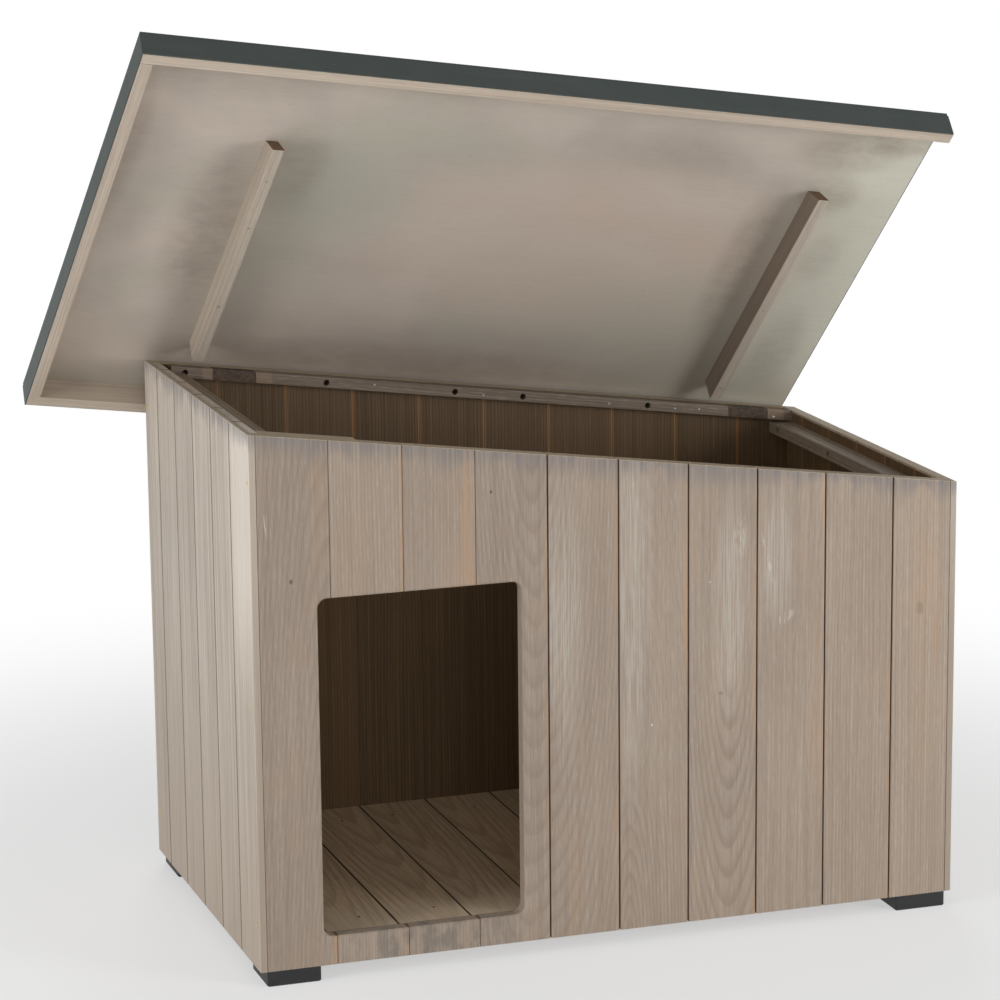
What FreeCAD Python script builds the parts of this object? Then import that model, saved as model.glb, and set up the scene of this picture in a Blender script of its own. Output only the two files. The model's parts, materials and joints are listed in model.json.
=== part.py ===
"""Dog house: walls of tongue-and-groove boards under a one-slope roof that opens on hinges.

Modelled from the front left corner of the walls, X to the right, Y to the back, Z up from
the ground, and written with the origin at the middle of the footprint.  The roof stands open.
"""
import FreeCAD, Part
import os
import re
import Sketcher

# Driving dimensions in millimetres and degrees.  Names with two words or more are cells.
SIZES = {
    # the house
    "house_width": 900,
    "house_depth": 516,
    "left_height": 653.5,
    "right_height": 528,
    # the boards of the walls, milled with a tongue on one edge and a groove in the other
    "board_cover": 89.8,
    "board_thickness": 17,
    "tongue_length": 10,
    "tongue_thickness": 5,
    "tongue_inset": 5,
    "tongue_slack": 0.2,
    "tight_seam": 0.4,
    "open_seam": 1.8,
    "arris_width": 0.8,
    "corner_strip": 8,
    "front_first_seam": 95.4,
    "back_first_seam": 92,
    "side_first_seam": 88.5,
    "narrowest_board": 30,
    # the doorway
    "door_left": 79.2,
    "door_width": 253,
    "door_sill": 35.4,
    "door_height": 415.6,
    "door_radius": 12,
    "door_arris": 1.4,
    # the battens inside the walls
    "batten_width": 18,
    "batten_height": 18,
    "long_batten_drop": 3,
    "short_batten_drop": 0.2,
    "back_batten_height": 14.5,
    "back_batten_gap": 10,
    "side_batten_width": 26,
    "side_batten_height": 16,
    "side_batten_drop": 13,
    "splice_place": 118,
    "splice_slant": 6,
    "batten_arris": 0.8,
    # the screw holes through the battens
    "hole_radius": 4,
    "back_hole_one": 44.7,
    "back_hole_two": 231.7,
    "back_hole_three": 405.8,
    "back_hole_four": 499.4,
    "back_hole_five": 674.7,
    "side_hole_front": 300.5,
    "side_hole_rear": 470,
    # the rough lengths where the back batten's pieces are glued end to end
    "rough_depth": 1.2,
    "rough_left_start": 81,
    "rough_left_end": 138,
    "rough_right_start": 790,
    "rough_right_end": 847,
    # the floor
    "floor_thickness": 17,
    "floor_cover": 91.5,
    "floor_first_seam": 86.5,
    "floor_seam": 1.2,
    "floor_play": 0.5,
    # the feet
    "foot_height": 19,
    "foot_width": 67,
    "foot_depth": 70,
    "foot_radius": 3,
    "foot_chamfer": 1.5,
    # the roof, measured along its slope
    "left_overhang": 141.5,
    "right_inset": 13,
    "front_overhang": 60.7,
    "rear_overhang": 74.5,
    "panel_thickness": 4.6,
    "cover_thickness": 1,
    "lip_step": 0.7,
    "lip_radius": 1.4,
    "rim_thickness": 1.5,
    "rim_lift": 0.8,
    "frame_width": 15.5,
    "frame_depth": 31,
    "support_width": 15.3,
    "support_depth": 30.8,
    "support_slant": 17.5,
    "support_reach": 383,
    "support_clearance": 1.5,
    "left_support_place": 51.9,
    "right_support_place": 766.5,
    "roof_gap": 0.5,
    "open_angle": 48.8,
    # the hinges
    "hinge_behind": 5,
    "hinge_below": 5,
    "hinge_length": 60,
    "hinge_end_distance": 120,
    "leaf_thickness": 2,
    "wall_leaf_height": 34,
    "roof_leaf_depth": 34,
    "knuckle_radius": 4,
    "knuckle_gap": 0.4,
    "leaf_relief": 6,
    "pin_radius": 2.2,
    "pin_play": 0.05,
    "pin_head_radius": 3.4,
    "pin_head_height": 1,
}

SLOPE = "atan((left_height - right_height) / house_width)"
SLOPE_LENGTH = "(house_width / cos(%s))" % SLOPE
INNER_RIGHT = "(house_width - board_thickness)"
INNER_BACK = "(house_depth - board_thickness)"
DOOR_RIGHT = "(door_left + door_width)"
DOOR_TOP = "(door_sill + door_height)"

doc = FreeCAD.newDocument("DogHouse")
sheet = doc.addObject("Spreadsheet::Sheet", "Sizes")
for row, (name, value) in enumerate(SIZES.items(), 1):
    sheet.set("A%d" % row, name)
    sheet.set("B%d" % row, str(value))
    sheet.setAlias("B%d" % row, name)
doc.recompute()

pieces = []


def bound(text):
    """Turn a text of sizes into an expression on the sheet's cells."""
    return re.sub(r"\b[a-z]+(?:_[a-z]+)+\b", lambda word: "Sizes." + word.group(), text)


def value(text):
    """The number that a text of sizes comes to now."""
    return float(sheet.evalExpression(bound(text)))


def roof_line(x):
    """Height above the ground of the walls' top at a distance from the left face."""
    return "foot_height + left_height - (%s) * (left_height - right_height) / house_width" % x


# Where a piece is set: the house's own corner, or the hinge axis under the roof's left end,
# turned with the slope and, for the roof's pieces, opened about the axis.
HOUSE = {}
HINGE_AXIS = {
    "Base.x": "-(hinge_below - roof_gap) * sin(%s)" % SLOPE,
    "Base.y": "house_depth + hinge_behind",
    "Base.z": "foot_height + left_height - (hinge_below - roof_gap) * cos(%s)" % SLOPE,
    "Rotation.Pitch": SLOPE,
}
ROOF = dict(HINGE_AXIS, **{"Rotation.Roll": "-open_angle"})


def new_body(label, place):
    """An empty body with its label, set where the place says."""
    body = doc.addObject("PartDesign::Body", label)
    body.Label = label
    for path, text in place.items():
        body.setExpression("Placement." + path, bound(text))
    return body


def new_sketch(body, role, offset):
    """A sketch on one of the body's origin planes, moved off it along its normal."""
    sketch = body.newObject("Sketcher::SketchObject", body.Label + "_sketch")
    plane = [item for item in body.Origin.OriginFeatures if item.Role == role][0]
    sketch.AttachmentSupport = [(plane, "")]
    sketch.MapMode = "FlatFace"
    if offset != "0":
        sketch.setExpression("AttachmentOffset.Base.z", bound(offset))
    return sketch


def outline(body, role, corners, offset="0"):
    """A sketch of straight sides through corners, each corner held at its two sizes."""
    sketch = new_sketch(body, role, offset)
    points = [FreeCAD.Vector(value(across), value(up), 0) for across, up in corners]
    for start, end in zip(points, points[1:] + points[:1]):
        sketch.addGeometry(Part.LineSegment(start, end))
    for side, (across, up) in enumerate(corners):
        after = (side + 1) % len(corners)
        sketch.addConstraint(Sketcher.Constraint("Coincident", side, 2, after, 1))
        for kind, text in (("DistanceX", across), ("DistanceY", up)):
            held = Sketcher.Constraint(kind, -1, 1, side, 1, value(text))
            number = sketch.addConstraint(held)
            sketch.setExpression("Constraints[%d]" % number, bound(text))
    return sketch


def circle(body, role, middle, radius, offset="0"):
    """A sketch of a circle, its middle held at two sizes from the body's origin."""
    sketch = new_sketch(body, role, offset)
    centre = FreeCAD.Vector(value(middle[0]), value(middle[1]), 0)
    sketch.addGeometry(Part.Circle(centre, FreeCAD.Vector(0, 0, 1), value(radius)))
    held = [("DistanceX", (-1, 1, 0, 3), middle[0]), ("DistanceY", (-1, 1, 0, 3), middle[1])]
    for kind, ends, text in held + [("Radius", (0,), radius)]:
        number = sketch.addConstraint(Sketcher.Constraint(kind, *ends, value(text)))
        sketch.setExpression("Constraints[%d]" % number, bound(text))
    return sketch


def push(body, kind, sketch, length, reverse=False):
    """Pad or pocket a sketch by a length."""
    feature = body.newObject("PartDesign::" + kind, body.Label + "_" + kind.lower())
    feature.Profile = sketch
    feature.setExpression("Length", bound(length))
    feature.Reversed = reverse
    return feature


def soften(body, kind, sizes, chosen):
    """Fillet or chamfer the edges of the body that the test chooses."""
    doc.recompute()
    last = body.Tip
    edges = enumerate(last.Shape.Edges, 1)
    names = ["Edge%d" % number for number, edge in edges if chosen(edge)]
    feature = body.newObject("PartDesign::" + kind, body.Label + "_" + kind.lower())
    feature.Base = (last, names)
    for name, text in sizes.items():
        feature.setExpression(name, bound(text))
    return feature


def runs_along(edge, direction):
    """Whether an edge is straight and parallel to a direction."""
    if not isinstance(edge.Curve, Part.Line):
        return False
    return abs(abs(edge.Curve.Direction.dot(direction)) - 1) < 1e-6


def ease(body, chosen):
    """Take the sharpness off the long straight edges that the test chooses."""
    shortest = 4 * value("batten_height")

    def long_and_chosen(edge):
        return isinstance(edge.Curve, Part.Line) and edge.Length > shortest and chosen(edge.BoundBox)

    soften(body, "Chamfer", {"Size": "batten_arris"}, long_and_chosen)


def stick(label, place, x, y, z):
    """A sawn piece between two sizes along each axis of its place."""
    body = new_body(label, place)
    corners = [(x[0], y[0]), (x[1], y[0]), (x[1], y[1]), (x[0], y[1])]
    push(body, "Pad", outline(body, "XY_Plane", corners, z[0]), "%s - (%s)" % (z[1], z[0]))
    return body


def keep(*things):
    """Count things among the finished pieces."""
    pieces.extend(things)


def cut(label, base, tools):
    """The base less one tool after another."""
    for number, tool in enumerate(tools, 1):
        result = doc.addObject("Part::Cut", label)
        result.Label = label if number == len(tools) else "%s_step_%d" % (label, number)
        result.Base = base
        result.Tool = tool
        base = result
    return base


# ---------------------------------------------------------------- wall boards

def board_edge(kind, x, way):
    """Corners down one edge of a board, from its outer face to its inner face.

    way is 1 where the board's far end is and -1 where it starts.
    """
    corners = [("%s - %d * arris_width" % (x, way), "0"), (x, "arris_width")]
    if kind == "tongue":
        tip = "%s + %d * tongue_length" % (x, way)
        near = "tongue_inset"
        far = "tongue_inset + tongue_thickness"
        corners += [(x, near), (tip, near), (tip, far), (x, far)]
    if kind == "groove":
        floor = "%s - %d * tongue_length" % (x, way)
        near = "tongue_inset - tongue_slack"
        far = "tongue_inset + tongue_thickness + tongue_slack"
        corners += [(x, near), (floor, near), (floor, far), (x, far)]
    if kind == "rebate":
        shoulder = "%s - %d * board_thickness" % (x, way)
        corners += [(x, "corner_strip"), (shoulder, "corner_strip")]
        x = shoulder
    return corners + [(x, "board_thickness")]


# Each wall's corner, its turn about Z, and the way from its outer face into the house.
WALLS = {
    "front": ({}, 1),
    "back": ({"Base.y": "house_depth"}, -1),
    "left": ({"Rotation.Yaw": "90"}, -1),
    "right": ({"Base.x": "house_width", "Rotation.Yaw": "90"}, 1),
}


def board_blank(label, wall, start, end, bottom, top):
    """A milled board standing in its wall; start and end are (place along it, edge kind)."""
    place, inward = WALLS[wall]
    place = dict(place, **{"Base.z": "foot_height + " + bottom})
    corners = board_edge(end[1], end[0], 1) + board_edge(start[1], start[0], -1)[::-1]
    body = new_body(label + "_blank", place)
    turned = [(across, "%d * (%s)" % (inward, depth)) for across, depth in corners]
    push(body, "Pad", outline(body, "XY_Plane", turned), "%s - (%s)" % (top, bottom))
    return body


def seams(first, last, cover, end):
    """Places of the seams between boards, none closer to the end than the narrowest board."""
    places = [first]
    while value("%s + %s * %d + narrowest_board" % (first, cover, len(places))) < value(end):
        places.append("%s + %s * %d" % (first, cover, len(places)))
    return places


def wall_boards(wall, first_seam, start, end, corner, wide_from=99):
    """The boards of one wall as (start, end), seams from number wide_from on standing open."""
    places = seams(first_seam, end, "board_cover", end)
    boards = []
    for number, seam in enumerate(places + [end], 1):
        gap = "tight_seam" if number < wide_from else "open_seam"
        begin = (start, corner)
        if number > 1:
            begin = ("%s + %s" % (places[number - 2], gap), "tongue")
        finish = (seam, "groove" if number <= len(places) else corner)
        boards.append((begin, finish))
    return boards


def space_above_walls():
    """Everything over the sloping plane of the walls' tops."""
    body = new_body("above_walls", {"Base.y": "-board_cover"})
    ends = ("-board_cover", "house_width + board_cover")
    ceiling = "foot_height + left_height + 2 * board_cover"
    corners = [(ends[0], roof_line(ends[0])), (ends[1], roof_line(ends[1]))]
    corners += [(ends[1], ceiling), (ends[0], ceiling)]
    push(body, "Pad", outline(body, "XZ_Plane", corners), "house_depth + 2 * board_cover", True)
    return body


def doorway():
    """The doorway's rounded opening, through the front wall."""
    body = new_body("doorway", {"Base.y": "-board_thickness", "Base.z": "foot_height"})
    corners = [("door_left", "door_sill"), (DOOR_RIGHT, "door_sill")]
    corners += [(DOOR_RIGHT, DOOR_TOP), ("door_left", DOOR_TOP)]
    push(body, "Pad", outline(body, "XZ_Plane", corners), "3 * board_thickness", True)
    through = FreeCAD.Vector(0, 1, 0)
    soften(body, "Fillet", {"Radius": "door_radius"}, lambda edge: runs_along(edge, through))
    return body


def doorway_edge(label, board):
    """The board with its front edge round the doorway taken off."""
    board.Label = label + "_sawn"
    body = doc.addObject("PartDesign::Body", label)
    body.Label = label
    body.BaseFeature = board
    near = 0.01
    across = (value("door_left") - near, value(DOOR_RIGHT) + near)
    up = (value("foot_height + door_sill") - near, value("foot_height + " + DOOR_TOP) + near)

    def on_doorway(edge):
        box = edge.BoundBox
        within = across[0] < box.XMin and box.XMax < across[1]
        return within and up[0] < box.ZMin and box.ZMax < up[1] and box.YMax < near

    soften(body, "Chamfer", {"Size": "door_arris"}, on_doorway)
    return body


above_walls = space_above_walls()
door_space = doorway()
wall_start = "corner_strip + tight_seam"
wall_end = "house_width - corner_strip - tight_seam"

front = wall_boards("front", "front_first_seam", wall_start, wall_end, "plain", 5)
for number, (start, end) in enumerate(front, 1):
    label = "front_board_%d" % number
    within = value(start[0]) >= value("door_left") and value(end[0]) <= value(DOOR_RIGHT)
    beside = value(end[0]) <= value("door_left") or value(start[0]) >= value(DOOR_RIGHT)
    if within:
        for name, bottom, top in (("_upper", DOOR_TOP, "left_height"), ("_sill", "0", "door_sill")):
            blank = board_blank(label + name, "front", start, end, bottom, top)
            keep(doorway_edge(label + name, cut(label + name, blank, [above_walls])))
        continue
    blank = board_blank(label, "front", start, end, "0", "left_height")
    if beside:
        keep(cut(label, blank, [above_walls]))
    else:
        keep(doorway_edge(label, cut(label, blank, [above_walls, door_space])))

back = wall_boards("back", "back_first_seam", wall_start, wall_end, "plain")
for number, (start, end) in enumerate(back, 1):
    label = "back_board_%d" % number
    blank = board_blank(label, "back", start, end, "0", "left_height")
    keep(cut(label, blank, [above_walls]))

side = wall_boards("left", "side_first_seam", "0", "house_depth", "rebate")
for number, (start, end) in enumerate(side, 1):
    label = "left_board_%d" % number
    blank = board_blank(label, "left", start, end, "0", "left_height")
    keep(cut(label, blank, [above_walls]))

right_boards = doc.addObject("Part::Compound", "right_boards")
right_boards.Links = [
    cut("right_board_%d" % number,
        board_blank("right_board_%d" % number, "right", start, end, "0", "left_height"),
        [above_walls])
    for number, (start, end) in enumerate(side, 1)
]
keep(right_boards)


# ---------------------------------------------------------------- battens, floor and feet

def sloping_batten(label, left, right, drop, height, y, inner, slants=("0", "0")):
    """A batten along the front or back wall, its top a drop under the walls' top.

    inner is the place, from y, of the face that looks into the house.
    """
    body = new_body(label, {"Base.y": y})
    corners = []
    for x, slant in ((left, slants[0]), (right, slants[1])):
        top = "%s - %s" % (roof_line(x), drop)
        corners.append([(x, top), ("%s - %s" % (x, slant), "%s - %s" % (top, height))])
    around = corners[0][::-1] + corners[1]
    push(body, "Pad", outline(body, "XZ_Plane", around), "batten_width", True)
    ease(body, lambda box: box.YMin > value(inner) - 1 and box.YMax < value(inner) + 1)
    return body


def top_battens():
    """Battens under the walls' tops: one in two lengths in front, and one on each other side."""
    splice = "board_thickness + splice_place"
    behind_front = "board_thickness"
    keep(sloping_batten("front_top_batten_short", "board_thickness", splice, "short_batten_drop",
                        "batten_height", behind_front, "batten_width", ("0", "splice_slant")))
    keep(sloping_batten("front_top_batten_long", splice, INNER_RIGHT, "long_batten_drop",
                        "batten_height", behind_front, "batten_width", ("splice_slant", "0")))
    keep(back_top_batten())
    rear = INNER_BACK + " - batten_width"
    keep(side_top_batten("left", "board_thickness", "left_height", rear))
    right = INNER_RIGHT + " - side_batten_width"
    keep(side_top_batten("right", right, "right_height", INNER_BACK))


def back_top_batten():
    """The batten under the back wall's top, with two rough lengths and its screw holes."""
    y = INNER_BACK + " - batten_width"
    back = sloping_batten("back_top_batten", "board_thickness + back_batten_gap", INNER_RIGHT,
                          "0", "back_batten_height", y, "0")
    for start, end in (("rough_left_start", "rough_left_end"),
                       ("rough_right_start", "rough_right_end")):
        low = roof_line(end) + " - 2 * batten_height"
        high = roof_line(start) + " + batten_height"
        corners = [(start, low), (end, low), (end, high), (start, high)]
        push(back, "Pocket", outline(back, "XZ_Plane", corners), "rough_depth")
    for number in ("one", "two", "three", "four", "five"):
        x = "back_hole_" + number
        middle = (x, roof_line(x) + " - back_batten_height / 2")
        push(back, "Pocket", circle(back, "XZ_Plane", middle, "hole_radius"), "batten_width")
    return back


def side_top_batten(name, x, height, rear):
    """A level batten along a side wall, under the wall's top, with its screw holes."""
    top = "foot_height + %s - side_batten_drop" % height
    batten = stick(name + "_top_batten", HOUSE, (x, x + " + side_batten_width"),
                   ("board_thickness + batten_width", rear), (top + " - side_batten_height", top))
    face = value(x + " + side_batten_width" if name == "left" else x)
    ease(batten, lambda box: abs(box.XMin - face) < 1 and abs(box.XMax - face) < 1)
    for y in ("side_hole_front", "side_hole_rear"):
        if value(y + " + hole_radius") < value(rear):
            middle = (y, top + " - side_batten_height / 2")
            sketch = circle(batten, "YZ_Plane", middle, "hole_radius", x)
            push(batten, "Pocket", sketch, "side_batten_width", True)
    return batten


def bottom_battens():
    """Battens round the walls' feet and the bearer across the middle that carry the floor."""
    across = ("board_thickness", INNER_RIGHT)
    between = ("board_thickness + batten_width", INNER_BACK + " - batten_width")
    heights = ("foot_height", "foot_height + batten_height")
    for name, y in (("front", "board_thickness"), ("back", INNER_BACK + " - batten_width")):
        keep(stick(name + "_bottom_batten", HOUSE, across, (y, y + " + batten_width"), heights))
    for name, x in (("left", "board_thickness"), ("right", INNER_RIGHT + " - batten_width")):
        keep(stick(name + "_bottom_batten", HOUSE, (x, x + " + batten_width"), between, heights))
    middle = "house_depth / 2"
    keep(stick("floor_bearer", HOUSE,
               ("board_thickness + batten_width", INNER_RIGHT + " - batten_width"),
               (middle + " - batten_width / 2", middle + " + batten_width / 2"), heights))


def floor():
    """Plain boards from the front wall to the back wall, with a gap at each seam."""
    end = INNER_RIGHT + " - floor_play"
    places = seams("floor_first_seam", end, "floor_cover", end)
    starts = ["board_thickness + floor_play"] + [seam + " + floor_seam" for seam in places]
    bottom = "foot_height + batten_height"
    top = bottom + " + floor_thickness"
    boards = []
    for number, (start, stop) in enumerate(zip(starts, places + [end]), 1):
        board = stick("floor_board_%d" % number, HOUSE, (start, stop),
                      ("board_thickness + floor_play", INNER_BACK + " - floor_play"), (bottom, top))
        ease(board, lambda box: box.ZMin > value(top) - 1 and box.YLength > box.XLength)
        boards.append(board)
    group = doc.addObject("Part::Compound", "floor_boards")
    group.Links = boards
    keep(group)


def feet():
    """A plastic foot under each corner, in line with the corner strip and the outer face."""
    upright = FreeCAD.Vector(0, 0, 1)
    right = "house_width - corner_strip - foot_width"
    rear = "house_depth - foot_depth"
    for name, x, y in (("front_left", "corner_strip", "0"), ("front_right", right, "0"),
                       ("rear_left", "corner_strip", rear), ("rear_right", right, rear)):
        foot = stick("foot_" + name, HOUSE, (x, x + " + foot_width"), (y, y + " + foot_depth"),
                     ("0", "foot_height"))
        soften(foot, "Fillet", {"Radius": "foot_radius"}, lambda edge: runs_along(edge, upright))
        soften(foot, "Chamfer", {"Size": "foot_chamfer"}, lambda edge: edge.BoundBox.ZMax < 1e-6)
        keep(foot)


top_battens()
bottom_battens()
floor()
feet()


# ---------------------------------------------------------------- roof

ROOF_X = ("-left_overhang", SLOPE_LENGTH + " - right_inset")
ROOF_Y = ("-(house_depth + hinge_behind + front_overhang)", "rear_overhang - hinge_behind")
UNDERSIDE = "hinge_below"


def inside(span, margin):
    """A span drawn in at both ends."""
    return (span[0] + " + " + margin, span[1] + " - (%s)" % margin)


def roof_top():
    """The plywood panel, and the dark sheet over it with a lip down its four edges."""
    inset = "(lip_step + cover_thickness)"
    panel_top = UNDERSIDE + " + panel_thickness"
    keep(stick("roof_panel", ROOF, inside(ROOF_X, inset), inside(ROOF_Y, inset),
               (UNDERSIDE, panel_top)))
    sheet_x = inside(ROOF_X, "lip_step")
    sheet_y = inside(ROOF_Y, "lip_step")
    cover = stick("roof_covering", ROOF, sheet_x, sheet_y,
                  (UNDERSIDE, panel_top + " + cover_thickness"))
    low = value(UNDERSIDE)
    soften(cover, "Fillet", {"Radius": "lip_radius"}, lambda edge: edge.BoundBox.ZMin > low)
    x = inside(ROOF_X, inset)
    y = inside(ROOF_Y, inset)
    corners = [(x[0], y[0]), (x[1], y[0]), (x[1], y[1]), (x[0], y[1])]
    push(cover, "Pocket", outline(cover, "XY_Plane", corners, UNDERSIDE), "panel_thickness", True)
    keep(cover)


def roof_frame():
    """Battens under the panel on three sides, and the dark rims on their outer faces.

    The right side, where the roof is lowest, stays open so that water runs off.
    """
    depth = (UNDERSIDE + " - frame_depth", UNDERSIDE)
    rim_depth = (UNDERSIDE + " - frame_depth + rim_lift", UNDERSIDE)
    y = inside(ROOF_Y, "rim_thickness")
    front = (y[0], y[0] + " + frame_width")
    rear = (y[1] + " - frame_width", y[1])
    left = ROOF_X[0] + " + rim_thickness"
    along = (left, ROOF_X[1])
    battens = [stick("roof_batten_front", ROOF, along, front, depth),
               stick("roof_batten_rear", ROOF, along, rear, depth),
               stick("roof_batten_left", ROOF, (left, left + " + frame_width"),
                     (front[1], rear[0]), depth)]
    lowest = value(depth[0])
    inner = [value(front[1]), value(rear[0]), value(left + " + frame_width")]
    ease(battens[0], lambda box: box.ZMax < lowest + 1 and box.YMin > inner[0] - 1)
    ease(battens[1], lambda box: box.ZMax < lowest + 1 and box.YMax < inner[1] + 1)
    ease(battens[2], lambda box: box.ZMax < lowest + 1 and box.XMin > inner[2] - 1)
    keep(*battens)
    keep(stick("roof_rim_front", ROOF, ROOF_X, (ROOF_Y[0], y[0]), rim_depth))
    keep(stick("roof_rim_rear", ROOF, ROOF_X, (y[1], ROOF_Y[1]), rim_depth))
    keep(stick("roof_rim_left", ROOF, (ROOF_X[0], left), y, rim_depth))


def roof_support(name, place):
    """A batten across the panel's underside, its front end cut on the slant."""
    body = new_body("roof_support_" + name, ROOF)
    rear = "-(hinge_behind + board_thickness + batten_width + support_clearance)"
    low = UNDERSIDE + " - support_depth"
    corners = [(rear, UNDERSIDE), (rear, low)]
    corners += [(rear + " - support_reach - support_slant", low)]
    corners += [(rear + " - support_reach", UNDERSIDE)]
    push(body, "Pad", outline(body, "YZ_Plane", corners, place), "support_width")
    ease(body, lambda box: box.ZMax < value(low) + 1)
    keep(body)


roof_top()
roof_frame()
roof_support("left", "left_support_place")
roof_support("right", "right_support_place")


# ---------------------------------------------------------------- hinges

KNUCKLE = "((hinge_length - 2 * knuckle_gap) / 3)"


def barrel(body, kind, start, length, radius):
    """Add or cut a cylinder about the hinge axis."""
    push(body, kind, circle(body, "YZ_Plane", ("0", "0"), radius, start), length, kind == "Pocket")


def hinge_leaf(label, place, start, plate, knuckles, spaces):
    """A leaf with its knuckles; spaces are where the other leaf's knuckles turn."""
    body = stick(label, place, (start, start + " + hinge_length"), plate[0], plate[1])
    for number in spaces:
        begin = "%s + %d * (%s + knuckle_gap) - knuckle_gap" % (start, number, KNUCKLE)
        barrel(body, "Pocket", begin, KNUCKLE + " + 2 * knuckle_gap", "leaf_relief")
    for number in knuckles:
        begin = "%s + %d * (%s + knuckle_gap)" % (start, number, KNUCKLE)
        barrel(body, "Pad", begin, KNUCKLE, "knuckle_radius")
    barrel(body, "Pocket", start + " - knuckle_gap", "hinge_length + 2 * knuckle_gap",
           "pin_radius + pin_play")
    keep(body)


def hinge_pin(label, start):
    """A pin with a head riveted over at each end of the knuckles."""
    body = new_body(label, HINGE_AXIS)
    end = start + " + hinge_length"
    corners = [(start + " - pin_head_height", "0"), (start + " - pin_head_height", "pin_head_radius"),
               (start, "pin_head_radius"), (start, "pin_radius"),
               (end, "pin_radius"), (end, "pin_head_radius"),
               (end + " + pin_head_height", "pin_head_radius"), (end + " + pin_head_height", "0")]
    profile = outline(body, "XZ_Plane", corners)
    turned = body.newObject("PartDesign::Revolution", label + "_turned")
    turned.Profile = profile
    turned.ReferenceAxis = (profile, ["H_Axis"])
    turned.Angle = 360
    return body


def hinges():
    """Two butt hinges behind the back wall's top: a leaf on the wall, one under the roof."""
    wall_plate = (("-hinge_behind", "leaf_thickness - hinge_behind"), ("-wall_leaf_height", "0"))
    roof_plate = (("0", "roof_leaf_depth"), (UNDERSIDE + " - leaf_thickness", UNDERSIDE))
    starts = {"left": "hinge_end_distance",
              "right": SLOPE_LENGTH + " - hinge_end_distance - hinge_length"}
    for name, start in starts.items():
        hinge_leaf("hinge_wall_leaf_" + name, HINGE_AXIS, start, wall_plate, (0, 2), (1,))
        hinge_leaf("hinge_roof_leaf_" + name, ROOF, start, roof_plate, (1,), (0, 2))
    pins = doc.addObject("Part::Compound", "hinge_pins")
    pins.Links = [hinge_pin("hinge_pin_" + name, start) for name, start in starts.items()]
    keep(pins)


hinges()


# ---------------------------------------------------------------- check and write

def check():
    """Stop if any object failed or any piece is empty or broken."""
    doc.recompute()
    for thing in doc.Objects:
        if "Invalid" in thing.State or "Error" in thing.State:
            raise RuntimeError("%s failed: %s" % (thing.Label, thing.State))
    for piece in pieces:
        if piece.Shape.isNull() or not piece.Shape.isValid() or piece.Shape.Volume <= 0:
            raise RuntimeError(piece.Label + " is not a sound solid")


def write():
    """Write every piece with the origin on the ground at the middle of the footprint."""
    os.makedirs("parts", exist_ok=True)
    middle = Part.makeCompound([piece.Shape for piece in pieces]).BoundBox.Center
    for piece in pieces:
        shape = piece.Shape.copy()
        shape.translate(FreeCAD.Vector(-middle.x, -middle.y, 0))
        shape.exportStep("parts/%s.step" % piece.Label)
    print("%d pieces, origin %.3f %.3f from the corner" % (len(pieces), middle.x, middle.y))


check()
write()
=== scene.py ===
"""The looks of a small wooden dog house with its roof raised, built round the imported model.

Every board, batten, sheet and fitting comes from the model and gets its finish here. The new pieces
are the domed heads of the nails and screws.
"""

import json
import math

import bmesh
import bpy
from mathutils import Matrix, Vector


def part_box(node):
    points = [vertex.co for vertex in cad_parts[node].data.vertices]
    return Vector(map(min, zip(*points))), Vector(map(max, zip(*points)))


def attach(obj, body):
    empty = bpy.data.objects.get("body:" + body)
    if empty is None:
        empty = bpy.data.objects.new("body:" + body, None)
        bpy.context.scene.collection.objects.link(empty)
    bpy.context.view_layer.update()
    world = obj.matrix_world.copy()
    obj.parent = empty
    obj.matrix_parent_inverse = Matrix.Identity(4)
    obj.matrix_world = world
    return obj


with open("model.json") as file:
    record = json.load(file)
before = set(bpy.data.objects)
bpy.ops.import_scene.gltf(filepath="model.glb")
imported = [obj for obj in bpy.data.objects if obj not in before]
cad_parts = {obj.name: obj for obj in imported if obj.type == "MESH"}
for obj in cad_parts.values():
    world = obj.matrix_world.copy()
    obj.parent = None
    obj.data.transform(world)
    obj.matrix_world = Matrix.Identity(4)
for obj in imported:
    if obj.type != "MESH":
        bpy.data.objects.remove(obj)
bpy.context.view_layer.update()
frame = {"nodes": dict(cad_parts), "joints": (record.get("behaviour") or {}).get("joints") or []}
NODES = frame["nodes"]

# ---------------------------------------------------------------- places, in metres

X, Y, Z = Vector((1, 0, 0)), Vector((0, 1, 0)), Vector((0, 0, 1))

house_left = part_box("left_board_1")[0].x
house_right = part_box("right_boards")[1].x
house_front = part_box("front_board_1")[0].y
house_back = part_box("back_board_1")[1].y
walls_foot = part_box("front_board_1")[0].z
floor_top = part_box("floor_boards")[1].z
house_width = house_right - house_left
house_depth = house_back - house_front
left_height = 0.6535
right_height = 0.528
slope = math.atan2(left_height - right_height, house_width)

# the width that each board covers, and the first seam's distance from the left or the front
board_cover = 0.0898
front_first_seam = 0.0954
back_first_seam = 0.092
side_first_seam = 0.0885
floor_cover = 0.0915
floor_first_seam = 0.0865

hinge = frame["joints"][0]
hinge_place = Vector(hinge["pos_m"])
opened = -math.radians(hinge["range_deg"][0])
roof_along = -Vector(hinge["axis"]).normalized()
closed_normal = roof_along.cross(Y)
roof_back = Y * math.cos(opened) - closed_normal * math.sin(opened)
roof_up = closed_normal * math.cos(opened) + Y * math.sin(opened)

# directions across the grain, through the piece and along the grain, and for the roofing sheet
# along the roof, back and up
WALL_FRONT = (X, Y, Z)
WALL_SIDE = (Y, -X, Z)
BACK_TO_FRONT = (X, Z, -Y)
SIDE_TO_SIDE = (-Z, Y, X)
DOWN_THE_SLOPE = (Y, closed_normal, roof_along)
ROOF_DEEP = (roof_along, roof_up, -roof_back)
ROOF_LONG = (-roof_back, roof_up, -roof_along)
ROOF_FLAT = (roof_along, roof_back, roof_up)


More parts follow.
